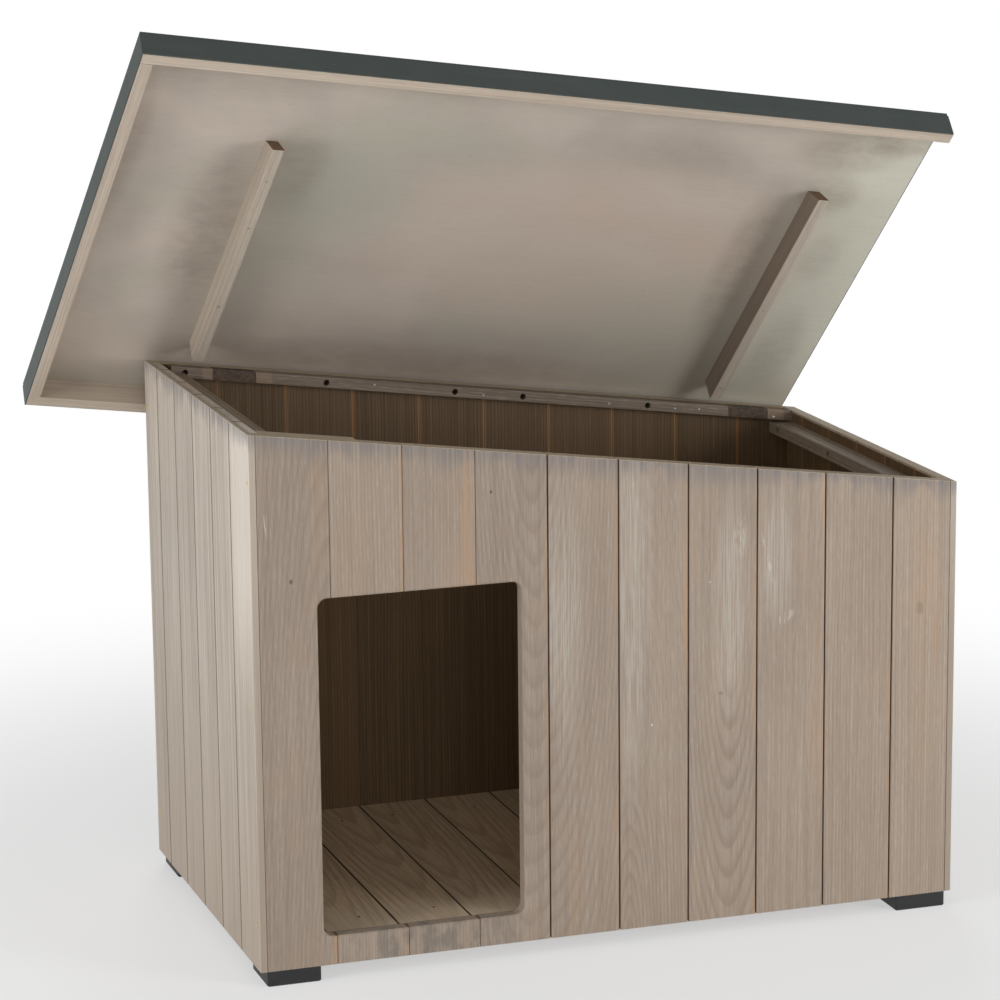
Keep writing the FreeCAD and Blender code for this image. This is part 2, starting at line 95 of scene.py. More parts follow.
def in_house(x, y, z):
    """A place measured from the walls' front left corner, on the ground."""
    return Vector((house_left + x, house_front + y, z))


def in_roof(along, back, up):
    """A place measured from the hinge axis under the roof's left end."""
    return hinge_place + roof_along * along + roof_back * back + roof_up * up


# ---------------------------------------------------------------- colours


def screen(red, green, blue):
    """A colour written as it shows on a screen, in the linear form that a material takes."""

    def linear(part):
        part = part / 255
        return part / 12.92 if part <= 0.04045 else ((part + 0.055) / 1.055) ** 2.4

    return (linear(red), linear(green), linear(blue), 1.0)


# stained boards, outside
PALE_BOARD, DARK_BOARD = screen(170, 154, 138), screen(136, 120, 105)
# the left wall's colours are paler than the front's, partly the boards' own tone and partly painted light
# from the left
PALE_SIDE, DARK_SIDE = screen(212, 202, 190), screen(154, 141, 127)
PALE_RIGHT, DARK_RIGHT = screen(184, 171, 156), screen(148, 134, 119)
WARM_BOARD = screen(170, 146, 124)
WARM_SIDE = screen(184, 168, 148)
# painted highlight for the front of the side walls
SIDE_PAINTED_HIGHLIGHT = screen(228, 218, 206)
LOW_SIDE = screen(162, 147, 130)
CORNER_EDGE = screen(158, 143, 126)
LIGHT_FLECK = screen(206, 196, 184)
ORANGE = screen(182, 142, 104)
SILVER = screen(186, 178, 168)
SLATE = screen(116, 113, 114)
TRODDEN = screen(104, 98, 92)
KNOT = screen(84, 66, 50)
SCRAPED = screen(212, 204, 192)
SEAM_SIDE = screen(112, 80, 52)
# dust and painted shade beside the seams of the side walls
SEAM_DUST_AND_SHADE = screen(112, 99, 84)
END_GRAIN, END_GRAIN_SPECK = screen(188, 172, 148), screen(140, 124, 102)

# boards, inside: dark brown, partly the bare wood's own tone and partly painted shade
PALE_INSIDE, DARK_INSIDE = screen(122, 96, 62), screen(86, 65, 39)
INSIDE_RING = screen(70, 51, 30)
INSIDE_WARM = screen(120, 92, 58)
# painted shade for the inner face higher up
INSIDE_PAINTED_SHADE = screen(62, 44, 26)
INSIDE_SEAM = screen(156, 112, 66)
INSIDE_GAP = screen(40, 28, 18)
PALE_FLOOR, DARK_FLOOR = screen(204, 180, 150), screen(148, 124, 98)
FLOOR_FRONT = screen(204, 188, 166)
FLOOR_SEAM = screen(196, 176, 146)
FLOOR_GAP = screen(52, 40, 28)

# battens and supports
PALE_BATTEN, DARK_BATTEN = screen(150, 134, 114), screen(104, 89, 72)
PALE_TOP_BATTEN, DARK_TOP_BATTEN = screen(182, 168, 146), screen(150, 135, 112)
PALE_BACK_BATTEN, DARK_BACK_BATTEN = screen(130, 115, 99), screen(90, 77, 64)
ROUGH_DARK, ROUGH_PALE = screen(56, 43, 32), screen(84, 66, 50)
GLUED_END = screen(146, 124, 100)
PALE_PINE, DARK_PINE = screen(200, 186, 169), screen(172, 157, 141)
PALE_SUPPORT, DARK_SUPPORT = screen(196, 184, 168), screen(164, 151, 136)
# painted shade for the supports' faces that look to the left
SUPPORT_PAINTED_SHADE = screen(94, 78, 64)
SUPPORT_END, SUPPORT_END_DARK = screen(120, 92, 58), screen(84, 62, 40)

# plywood
PALE_PLY, DARK_PLY = screen(194, 181, 169), screen(175, 164, 153)
GREEN_PLY = screen(176, 173, 158)
# paler, greener right end of the panel, partly its own tone and partly painted light
PLY_END_TONE_AND_PAINTED_LIGHT = screen(206, 204, 188)
FRONT_PLY = screen(176, 168, 154)
PINK_PLY = screen(200, 180, 165)
COOL_PLY = screen(172, 169, 155)
PLY_FIBRE = screen(146, 132, 116)
PLY_SPECK = screen(128, 112, 96)
# painted shade on the panel near the hinges, against the back wall
REAR_PLY_PAINTED_SHADE = screen(136, 122, 108)
# damp stains and painted shadows on the panel
DAMP_AND_SHADOW = screen(116, 98, 81)

# sheet, plastic and metal
SHEET, SHEET_PALE = screen(64, 72, 69), screen(76, 83, 80)
SHEET_DRAWN = screen(92, 100, 99)
SHEET_GRIT = screen(98, 106, 103)
PLASTIC, PLASTIC_PALE = screen(18, 19, 21), screen(29, 30, 32)
PALE_ZINC, DARK_ZINC = screen(190, 190, 188), screen(152, 154, 154)
PALE_BRASS, DARK_BRASS = screen(226, 206, 150), screen(196, 172, 112)
PALE_STEEL, DARK_STEEL = screen(96, 90, 84), screen(66, 60, 54)
WHITE = (1, 1, 1, 1)

# ---------------------------------------------------------------- finishes


class Finish:
    """A material and short ways to add nodes to it."""

    def __init__(self, name):
        self.material = bpy.data.materials.new(name)
        self.material.use_nodes = True
        self.nodes = self.material.node_tree.nodes
        self.links = self.material.node_tree.links
        self.shader = self.nodes["Principled BSDF"]

    def give(self, socket, value):
        if isinstance(value, bpy.types.NodeSocket):
            self.links.new(value, socket)
        elif value is not None:
            socket.default_value = value

    def add(self, kind, settings, values, output=0):
        """A new node of this kind, of which one output goes on."""
        node = self.nodes.new("ShaderNode" + kind)
        for key, value in settings.items():
            setattr(node, key, value)
        for place, value in values.items():
            self.give(node.inputs[place], value)
        return node.outputs[output]

    def calc(self, operation, first, second=None, third=None):
        return self.add("Math", {"operation": operation}, {0: first, 1: second, 2: third})

    def vector(self, operation, first, second=None, output=0):
        return self.add("VectorMath", {"operation": operation}, {0: first, 1: second}, output)

    def noise(self, spot, density, detail=2.0, rough=0.5, bend=0.0):
        """Noise of about so many patches to the metre, across, through and along."""
        dense = self.vector("MULTIPLY", spot, density)
        values = {"Vector": dense, "Scale": 1.0, "Detail": detail, "Roughness": rough, "Distortion": bend}
        return self.add("TexNoise", {}, values)

    def ramp(self, value, low, high, to_low=0.0, to_high=1.0):
        """A smooth step: to_low where the value is low, to_high where it is high."""
        values = {0: value, 1: low, 2: high, 3: to_low, 4: to_high}
        return self.add("MapRange", {"interpolation_type": "SMOOTHSTEP"}, values)

    def mix(self, amount, first, second, blend="MIX"):
        settings = {"data_type": "RGBA", "blend_type": blend}
        return self.add("Mix", settings, {0: amount, 6: first, 7: second}, 2)

    def split(self, spot):
        node = self.nodes.new("ShaderNodeSeparateXYZ")
        self.give(node.inputs[0], spot)
        return node.outputs

    def place(self, axes, origin):
        """Coordinates of a spot along three directions, measured from the origin."""
        turn = Matrix(axes).transposed().to_euler()
        coordinates = self.nodes.new("ShaderNodeTexCoord").outputs["Object"]
        values = {"Vector": coordinates, "Location": origin, "Rotation": turn}
        return self.add("Mapping", {"vector_type": "TEXTURE"}, values)

    def close(self, colour, roughness, height=None, strength=0.3, distance=0.001):
        """Hands colour, roughness and relief to the shader."""
        self.give(self.shader.inputs["Base Color"], colour)
        self.give(self.shader.inputs["Roughness"], roughness)
        if height is not None:
            values = {"Strength": strength, "Distance": distance, "Height": height}
            self.links.new(self.add("Bump", {}, values), self.shader.inputs["Normal"])
        return self.material


class Wood(Finish):
    """Sawn timber: growth rings cut by the board's face, fibres along it and stain on top.

    A wall or floor is a row of boards, each with grain and chances of its own: cover is the width
    of a board, and first the place of the first seam. Without cover it is all one piece of timber.
    """

    def __init__(self, name, axes, origin, cover=None, first=0.0, seed=0.0):
        super().__init__(name)
        self.spot = self.place(axes, origin)
        self.across, self.through, self.along = self.split(self.spot)
        self.cover = cover
        number = 0.0
        self.inside_board = self.across
        if cover:
            steps = self.calc("DIVIDE", self.calc("SUBTRACT", self.across, first), cover)
            number = self.calc("FLOOR", steps)
            self.inside_board = self.calc("MULTIPLY", self.calc("SUBTRACT", steps, number), cover)
        number = self.calc("ADD", number, seed)
        chance = self.add("TexWhiteNoise", {"noise_dimensions": "1D"}, {"W": number}, 1)
        self.chance = self.split(chance)
        shift = self.add("VectorMath", {"operation": "SCALE"}, {0: chance, 3: 9.0})
        self.shifted = self.vector("ADD", self.spot, shift)
        self.fine = self.noise(self.shifted, (760.0, 760.0, 11.0), 2.0, 0.6)
        self.streak = self.noise(self.shifted, (260.0, 260.0, 2.6), 3.0, 0.62)
        self.cloud = self.noise(self.shifted, (13.0, 13.0, 3.4), 3.0, 0.55)
        self.patch = self.noise(self.shifted, (26.0, 26.0, 8.0), 2.0, 0.5)
        self.fleck = self.noise(self.shifted, (1000.0, 1000.0, 60.0), 2.0, 0.6)

    def rings(self, centre, depth, lean, ring=0.0042, wander=4.0):
        """Late wood, where rings round a pith beyond the board meet its face.

        The pith lies at centre across the board and at depth off its face, and further off by lean
        for each metre along it. The rings are ring wide, and wander bends them.
        """
        warp = self.noise(self.shifted, (12.0, 12.0, 1.7), 2.0)
        warp = self.calc("MULTIPLY", self.calc("SUBTRACT", warp, 0.5), ring * wander)
        sideways = self.calc("POWER", self.calc("SUBTRACT", self.inside_board, centre), 2.0)
        deep = self.calc("ADD", self.calc("MULTIPLY_ADD", self.along, lean, depth), self.through)
        far = self.calc("SQRT", self.calc("ADD", sideways, self.calc("POWER", deep, 2.0)))
        saw = self.calc("FRACT", self.calc("DIVIDE", self.calc("ADD", far, warp), ring))
        return self.calc("MULTIPLY", self.ramp(saw, 0.35, 0.82), self.ramp(saw, 1.0, 0.86))

    def stain(self, pale, dark, streaks=0.75, rings=None, ring_share=0.3):
        """The wood's own colour: streaks, fibres, flecks and rings of the dark stain on the pale."""
        if rings is None:
            aside = self.calc("MULTIPLY_ADD", self.chance[0], -0.25, -0.05)
            rings = self.rings(aside, 0.05, 0.0)
        self.colour = self.mix(self.ramp(self.streak, 0.25, 0.75, 0.0, streaks), pale, dark)
        self.tint(self.ramp(self.fine, 0.42, 0.72, 0.0, 0.38), dark)
        self.tint(self.ramp(self.fleck, 0.46, 0.68, 0.0, 0.3), dark)
        self.tint(self.ramp(self.fleck, 0.46, 0.3, 0.0, 0.16), LIGHT_FLECK)
        self.tint(self.calc("MULTIPLY", rings, ring_share), dark)
        self.late = rings
        grain = self.calc("MULTIPLY_ADD", rings, -0.5, self.calc("MULTIPLY", self.streak, -0.7))
        self.height = self.calc("MULTIPLY_ADD", self.fine, -0.5, grain)
        return self

    def cloudy(self, amount=0.12, each=0.12):
        """Soft patches along the board and a shade of its own for each board."""
        value = self.calc("MULTIPLY_ADD", self.cloud, 2 * amount, 1 - amount)
        own = self.calc("MULTIPLY_ADD", self.chance[1], each, 1 - each / 2)
        value = self.calc("MULTIPLY", value, own)
        grey = self.add("CombineColor", {}, {0: value, 1: value, 2: value})
        self.tint(1.0, grey, "MULTIPLY")
        return self

    def tint(self, amount, colour, blend="MIX"):
        self.colour = self.mix(amount, self.colour, colour, blend)

    def both(self, *amounts):
        """Where every one of the amounts holds."""
        whole = amounts[0]
        for amount in amounts[1:]:
            whole = self.calc("MULTIPLY", whole, amount)
        return whole

    def mark(self, place, size, lean=0.0):
        """1 at a place on the face, falling to 0 at its edge; lean tilts it off the grain."""
        up = self.calc("SUBTRACT", self.along, place[1])
        side = self.calc("SUBTRACT", self.across, place[0])
        if lean:
            side = self.calc("MULTIPLY_ADD", up, lean, side)
        sideways = self.calc("POWER", self.calc("DIVIDE", side, size[0]), 2.0)
        upwards = self.calc("POWER", self.calc("DIVIDE", up, size[1]), 2.0)
        return self.ramp(self.calc("ADD", sideways, upwards), 1.0, 0.0)

    def near_edge(self, wide, narrow):
        """1 at the board's two long edges, 0 from wide inside them."""
        middle = self.calc("ABSOLUTE", self.calc("SUBTRACT", self.inside_board, self.cover / 2))
        return self.ramp(middle, self.cover / 2 - wide, self.cover / 2 - narrow)

    def between(self, value, start, end, blur):
        """1 where the value lies between start and end, fading over the blur at each."""
        last = self.ramp(value, end + blur, end - blur)
        return self.both(self.ramp(value, start - blur, start + blur), last)

    def done(self, strength=0.35, rough=0.56):
        roughness = self.calc("MULTIPLY_ADD", self.streak, 0.25, rough)
        return self.close(self.colour, roughness, self.height, strength, 0.0006)


def dress(material, *names):
    """Gives the finish to the nodes that are built from this material."""
    for name in names:
        for slot in NODES[name].material_slots:
            slot.material = material


def starting(text):
    """The names of the nodes that start with this text."""
    return [name for name in NODES if name.startswith(text)]


# the walls' boards


def weather_the_top(wood, outside, below):
    """Slate grey that runs down from the sawn tops, further in some places than in others."""
    reach = wood.calc("MAXIMUM", wood.calc("MULTIPLY_ADD", wood.patch, 0.1, -0.02), 0.004)
    weathered = wood.ramp(wood.calc("DIVIDE", below, reach), 1.0, 0.0, 0.0, 0.75)
    feathered = wood.ramp(wood.streak, 0.36, 0.6, 0.45, 1.0)
    wood.tint(wood.both(weathered, outside, feathered), SLATE)


def brown_the_seams(wood, depth, width):
    """Bare brown wood down in the seams, but not on the wall's own two ends."""
    last = wood.ramp(wood.across, width - 0.01, width - 0.012)
    seamed = wood.both(wood.ramp(wood.across, 0.01, 0.012), last)
    seam = wood.both(wood.near_edge(0.0026, 0.0012), wood.ramp(depth, 0.0004, 0.0016))
    wood.tint(wood.both(seamed, seam, wood.ramp(depth, 0.0165, 0.0155)), SEAM_SIDE)


def brown_the_inside(wood, depth):
    """The unstained inner face, dark partly as painted shade, with more painted shade higher up, bright
    board edges and dark gaps.
    """
    inner = wood.mix(wood.ramp(wood.streak, 0.2, 0.8), PALE_INSIDE, DARK_INSIDE)
    inner = wood.mix(wood.ramp(wood.fleck, 0.44, 0.66, 0.0, 0.5), inner, DARK_INSIDE)
    inner = wood.mix(wood.calc("MULTIPLY", wood.late, 0.55), inner, INSIDE_RING)
    inside = wood.ramp(depth, 0.0162, 0.0167)
    wood.tint(inside, inner)
    wood.tint(wood.both(inside, wood.ramp(wood.chance[2], 0.0, 1.0, 0.0, 0.3)), INSIDE_WARM)
    # painted shade on the inner face higher up
    wood.tint(wood.both(inside, wood.ramp(wood.along, 0.36, 0.54, 0.0, 0.3)), INSIDE_PAINTED_SHADE)
    lighter_above = wood.ramp(wood.along, 0.38, 0.48, 0.12, 0.85)
    wood.tint(wood.both(inside, wood.near_edge(0.0024, 0.0008), lighter_above), INSIDE_SEAM)
    wood.tint(wood.both(inside, wood.ramp(wood.inside_board, 0.0009, 0.0004)), INSIDE_GAP)


def wall_layers(wood, fall, height, inward, width):
    """What every wall's boards share: stains outside, the inner face and the sawn tops.

    The top stands at height where across is 0 and drops by fall for each metre. Inward is 1 or -1,
    the way through the boards to the inside.
    """
    depth = wood.calc("MULTIPLY", wood.through, inward)
    top = wood.calc("MULTIPLY_ADD", wood.across, -fall, height)
    below = wood.calc("SUBTRACT", top, wood.along)
    weather_the_top(wood, wood.ramp(depth, 0.009, 0.006), below)
    brown_the_seams(wood, depth, width)
    brown_the_inside(wood, depth)
    speckled = wood.mix(wood.ramp(wood.fine, 0.35, 0.7), END_GRAIN, END_GRAIN_SPECK)
    wood.tint(wood.ramp(below, 0.0009, 0.0003), speckled)


# how light each front board is drawn
SHADES = {1: 0.9, 2: 0.98, 3: 0.97, 4: 0.9, 5: 0.95, 6: 0.97, 7: 0.97, 8: 0.98, 9: 1.0, 10: 1.06}

# slanting grain: the pith's centre, depth and lean, the ring's width, how dark the rings are, and
# the two heights between which they fade, faint from the first and full from the second
SLANTING_GRAIN = {
    1: (0.10, 0.03, 0.1, 0.0046, 0.35, 1.0, 0.8),
    4: (0.07, 0.10, -0.12, 0.0044, 0.35, 1.0, 0.8),
    5: (-0.01, 0.11, -0.14, 0.0046, 0.38, 1.0, 0.8),
    6: (0.014, 0.004, 0.14, 0.0046, 0.5, 0.22, 0.08),
    7: (0.056, 0.06, -0.13, 0.0048, 0.5, 0.42, 0.2),
    8: (0.11, 0.02, 0.05, 0.0044, 0.2, 1.0, 0.8),
}

# silvery, orange, knotted and scraped spots: place along the wall and above its foot, then half of
# the width and of the height, then a scrape's lean, and last the strength of all but the silvery
SILVERED = {
    5: ((0.385, 0.40), (0.03, 0.2)),
    6: ((0.47, 0.42), (0.03, 0.3)),
    7: ((0.60, 0.40), (0.028, 0.16)),
    8: ((0.66, 0.45), (0.03, 0.1)),
}
ORANGE_BANDS = {
    1: ((0.082, 0.56), (0.013, 0.10), 0.3),
    2: ((0.12, 0.50), (0.03, 0.10), 0.2),
    3: ((0.262, 0.50), (0.0135, 0.2), 0.6),
    5: ((0.40, 0.06), (0.012, 0.12), 0.3),
    8: ((0.715, 0.24), (0.012, 0.2), 0.3),
    10: ((0.86, 0.36), (0.03, 0.3), 0.25),
}
KNOTS = {
    1: ((0.0478, 0.475), (0.0028, 0.004), 0.8),
    4: ((0.2948, 0.563), (0.0022, 0.003), 0.9),
    7: ((0.5878, 0.288), (0.004, 0.003), 0.4),
    10: ((0.8525, 0.372), (0.007, 0.011), 0.3),
}
SCRAPES = {
    1: [((0.018, 0.545), (0.0015, 0.016), 0.1, 0.7)],
    6: [((0.4977, 0.257), (0.0016, 0.002), 0.0, 1.0)],
    7: [((0.612, 0.478), (0.012, 0.03), 0.0, 0.35), ((0.5731, 0.429), (0.0014, 0.0016), 0.0, 0.9)],
    8: [((0.6489, 0.45), (0.003, 0.04), 0.25, 0.55), ((0.672, 0.376), (0.012, 0.012), -0.8, 0.4)],
    9: [((0.703, 0.123), (0.0014, 0.0016), 0.0, 0.9)],
}
# the trodden foot of the doorway's boards: place and half sizes in the same way
SILL_MARK = ((0.21, 0.018), (0.14, 0.05))
LAST_SILL_BOARD = 4


def front_board_finish(number):
    """One board of the front wall, with the grain, tone and marks of that board."""
    wood = Wood("front board %d, stained pine" % number, WALL_FRONT, (house_left, house_front, walls_foot),
                board_cover, front_first_seam, seed=3.7 + number)
    rings, share = None, 0.4
    if number in SLANTING_GRAIN:
        centre, depth, lean, ring, share, faint, full = SLANTING_GRAIN[number]
        rings = wood.rings(centre, depth, lean, ring, 2.5)
        share = wood.ramp(wood.along, faint, full, share * 0.25, share)
    wood.stain(PALE_BOARD, DARK_BOARD, 0.5, rings, share).cloudy(0.14, 0.0)
    wood.tint(wood.ramp(wood.patch, 0.5, 0.75, 0.0, 0.35), WARM_BOARD)
    shade = SHADES[number]
    wood.tint(1.0, (shade, shade, shade, 1.0), "MULTIPLY")
    if number in SILVERED:
        brushed = wood.ramp(wood.fine, 0.58, 0.42, 0.1, 0.55)
        wood.tint(wood.both(wood.mark(*SILVERED[number]), brushed), SILVER)
    edge = wood.ramp(wood.inside_board, board_cover - 0.007, board_cover - 0.002)
    broken = wood.ramp(wood.cloud, 0.46, 0.6, 0.1, 0.75)
    wood.tint(wood.both(edge, broken, wood.ramp(wood.fine, 0.4, 0.6)), ORANGE)
    if number in ORANGE_BANDS:
        place, size, strength = ORANGE_BANDS[number]
        lines = wood.ramp(wood.fine, 0.44, 0.58)
        wood.tint(wood.both(wood.mark(place, size), lines, strength), ORANGE)
    wall_layers(wood, math.tan(slope), left_height, 1, house_width)
    if number <= LAST_SILL_BOARD:
        dirt = wood.noise(wood.spot, (55.0, 55.0, 30.0), 3.0, 0.6)
        wood.tint(wood.both(wood.mark(*SILL_MARK), wood.ramp(dirt, 0.42, 0.62, 0.1, 0.6)), TRODDEN)
    if number in KNOTS:
        place, size, strength = KNOTS[number]
        wood.tint(wood.calc("MULTIPLY", wood.mark(place, size), strength), KNOT)
    for place, size, lean, strength in SCRAPES.get(number, ()):
        worn = wood.ramp(wood.noise(wood.shifted, (420.0, 420.0, 60.0)), 0.4, 0.62)
        wood.tint(wood.both(wood.mark(place, size, lean), worn, strength), SCRAPED)
    return wood.done()


for number in SHADES:
    boards = [name for name in starting("front_board_") if name.split("_")[2] == str(number)]
    dress(front_board_finish(number), *boards)


def side_wall_finish(name, x, height, inward, seed, pale, dark):
    """The boards of the left or the right wall, with a painted highlight near the front and above."""
    wood = Wood(name, WALL_SIDE, (x, house_front, walls_foot), board_cover, side_first_seam, seed)
    wood.stain(pale, dark, 0.85, ring_share=0.4).cloudy(0.2, 0.12)
    wood.tint(wood.ramp(wood.patch, 0.52, 0.78, 0.0, 0.35), WARM_SIDE)
    # painted highlight near the front, from halfway up
    near_front = wood.both(wood.ramp(wood.across, 0.12, 0.06), wood.ramp(wood.along, 0.3, 0.5))
    wood.tint(wood.calc("MULTIPLY", near_front, 0.6), SIDE_PAINTED_HIGHLIGHT)
    wood.tint(wood.ramp(wood.along, 0.42, 0.05, 0.0, 0.5), LOW_SIDE)
    wood.tint(wood.ramp(wood.across, 0.0006, 0.0001, 0.0, 0.7), CORNER_EDGE)
    rear = wood.ramp(wood.across, house_depth - 0.02, house_depth - 0.03)
    seamed = wood.both(wood.ramp(wood.across, 0.02, 0.03), rear)
    # dust and painted shade in a dark band beside each seam
    wood.tint(wood.both(seamed, wood.ramp(wood.inside_board, 0.0036, 0.0016)), SEAM_DUST_AND_SHADE)
    wood.tint(wood.both(seamed, wood.near_edge(0.0016, 0.0008)), SEAM_DUST_AND_SHADE)
    wall_layers(wood, 0.0, height, inward, house_depth)
    return wood.done()


# the left wall is drawn paler, partly as painted light from the left
left_wall = side_wall_finish("left wall boards, stained pine", house_left, left_height, -1, 21.0,
                             PALE_SIDE, DARK_SIDE)
right_wall = side_wall_finish("right wall boards, stained pine", house_right, right_height, 1, 33.0,
                              PALE_RIGHT, DARK_RIGHT)
dress(left_wall, *starting("left_board_"))
dress(right_wall, "right_boards")


def back_wall_finish():
    wood = Wood("back wall boards, stained pine", WALL_FRONT, (house_left, house_back, walls_foot),
                board_cover, back_first_seam, 47.0)
    wood.stain(PALE_BOARD, DARK_BOARD, 0.55).cloudy(0.1, 0.08)
    wood.tint(wood.ramp(wood.patch, 0.5, 0.75, 0.0, 0.35), WARM_BOARD)
    wall_layers(wood, math.tan(slope), left_height, -1, house_width)
    return wood.done()


dress(back_wall_finish(), *starting("back_board_"))

# floor boards and battens


def floor_finish():
    """Plain pine, paler near the front wall, with dark gaps between the boards."""
    wood = Wood("floor boards, stained pine", BACK_TO_FRONT, (house_left, house_front, 0),
                floor_cover, floor_first_seam, 61.0)
    centre = wood.calc("MULTIPLY_ADD", wood.chance[0], 0.05, 0.02)
    rings = wood.rings(centre, 0.01, 0.05, 0.006, 3.0)
    wood.stain(PALE_FLOOR, DARK_FLOOR, 0.6, rings, 0.45).cloudy(0.12, 0.1)
    wood.tint(wood.ramp(wood.along, -0.13, -0.03, 0.0, 0.4), FLOOR_FRONT)
    wood.tint(wood.calc("MULTIPLY", wood.near_edge(0.0034, 0.0022), 0.5), FLOOR_SEAM)
    wood.tint(wood.near_edge(0.0019, 0.0011), FLOOR_GAP)
    return wood.done()


dress(floor_finish(), "floor_boards")


def batten_finish(name, axes, origin, seed, pale, dark):
    wood = Wood(name, axes, origin, seed=seed)
    wood.stain(pale, dark, 0.8, wood.rings(-0.03, 0.02, 0.02, 0.004, 3.0), 0.4).cloudy()
    return wood


crosswise = batten_finish("battens across, stained pine", SIDE_TO_SIDE, (0, 0, 0), 71.0,
                          PALE_BATTEN, DARK_BATTEN)
depthwise = batten_finish("battens from front to back, stained pine", BACK_TO_FRONT, (0, 0, 0), 73.0,
                          PALE_BATTEN, DARK_BATTEN)
sloping = batten_finish("battens down the slope in front, stained pine", DOWN_THE_SLOPE, (0, 0, 0), 75.0,
                        PALE_TOP_BATTEN, DARK_TOP_BATTEN)
dress(crosswise.done(), "front_bottom_batten", "back_bottom_batten", "floor_bearer")
dress(depthwise.done(), "left_top_batten", "right_top_batten", "left_bottom_batten", "right_bottom_batten")
dress(sloping.done(), "front_top_batten_short", "front_top_batten_long")

# the back batten, measured from its left: its rough lengths, and the pale ends glued to them with
# their strength
ROUGH_LENGTHS = ((0.081, 0.138), (0.790, 0.847))
GLUED_ENDS = ((0.068, 0.081, 0.4), (0.138, 0.159, 0.4), (0.847, 0.871, 0.5))


def back_batten_finish():
    """Stained, with two rough dark lengths and the pale ends glued to them."""
    wood = batten_finish("back top batten, glued and stained pine", DOWN_THE_SLOPE, (house_left, 0, 0), 77.0,
                         PALE_BACK_BATTEN, DARK_BACK_BATTEN)
    side = wood.split(wood.place(WALL_FRONT, (house_left, 0, 0)))[0]
    stripes = wood.noise(wood.spot, (60.0, 160.0, 190.0), 2.0, 0.6, 0.8)
    rough = wood.mix(wood.ramp(stripes, 0.35, 0.65), ROUGH_DARK, ROUGH_PALE)
    for start, end in ROUGH_LENGTHS:
        wood.tint(wood.between(side, start, end, 0.0006), rough)
    for start, end, strength in GLUED_ENDS:
        within = wood.both(wood.ramp(side, start - 0.0008, start), wood.ramp(side, end, end - 0.0008))
        wood.tint(wood.both(within, strength), GLUED_END)
    return wood.done()


dress(back_batten_finish(), "back_top_batten")

long_sides = batten_finish("roof battens in front and behind, pine", ROOF_LONG, hinge_place, 81.0,
                           PALE_PINE, DARK_PINE)
left_end = batten_finish("roof batten at the left, pine", ROOF_DEEP, hinge_place, 83.0, PALE_PINE, DARK_PINE)
dress(long_sides.done(), "roof_batten_front", "roof_batten_rear")
dress(left_end.done(), "roof_batten_left")


def support_finish():
    """Pale sawn pine, with painted shade on the faces to the left, and bare brown end grain in front."""
    wood = batten_finish("roof supports, pine", ROOF_DEEP, hinge_place, 85.0, PALE_SUPPORT, DARK_SUPPORT)
    normal = wood.nodes.new("ShaderNodeNewGeometry").outputs["True Normal"]
    ends = wood.vector("DOT_PRODUCT", normal, -roof_back, 1)
    sides = wood.vector("DOT_PRODUCT", normal, -roof_along, 1)
    # painted shade on the faces that look to the left: light on the left support, strong on the right one
    right_one = wood.ramp(wood.across, 0.4, 0.41, 0.25, 0.85)
    wood.tint(wood.both(wood.ramp(sides, 0.6, 0.7), right_one), SUPPORT_PAINTED_SHADE)
    brown = wood.mix(wood.ramp(wood.fine, 0.4, 0.6), SUPPORT_END, SUPPORT_END_DARK)
    wood.tint(wood.ramp(ends, 0.6, 0.7), brown)
    return wood.done()


dress(support_finish(), "roof_support_left", "roof_support_right")

# roof

# dark patches, partly damp stains and partly painted shadows beside the supports and along the hinge edge:
# place along the roof from its left end and forward from the hinges, half of the length each way, strength
DAMP_STAINS_AND_SHADOWS = (
    ((0.795, 0.50), (0.085, 0.05), 0.5),
    ((0.86, 0.53), (0.07, 0.04), 0.55),
    ((0.80, 0.42), (0.05, 0.05), 0.45),
    ((0.83, 0.30), (0.035, 0.06), 0.3),
    ((0.02, 0.25), (0.06, 0.18), 0.5),
    ((0.10, 0.38), (0.05, 0.10), 0.35),
    ((-0.115, 0.40), (0.03, 0.16), 0.45),
    ((0.32, 0.03), (0.40, 0.05), 0.4),
    ((0.84, 0.12), (0.04, 0.10), 0.35),
    ((-0.02, 0.52), (0.16, 0.04), 0.25),
    ((0.725, 0.28), (0.04, 0.20), 0.45),
    ((0.58, 0.47), (0.12, 0.05), 0.2),
)
PINK_CLOUD = ((0.50, 0.28), (0.36, 0.20))
COOL_CLOUD = ((0.17, 0.34), (0.12, 0.12))


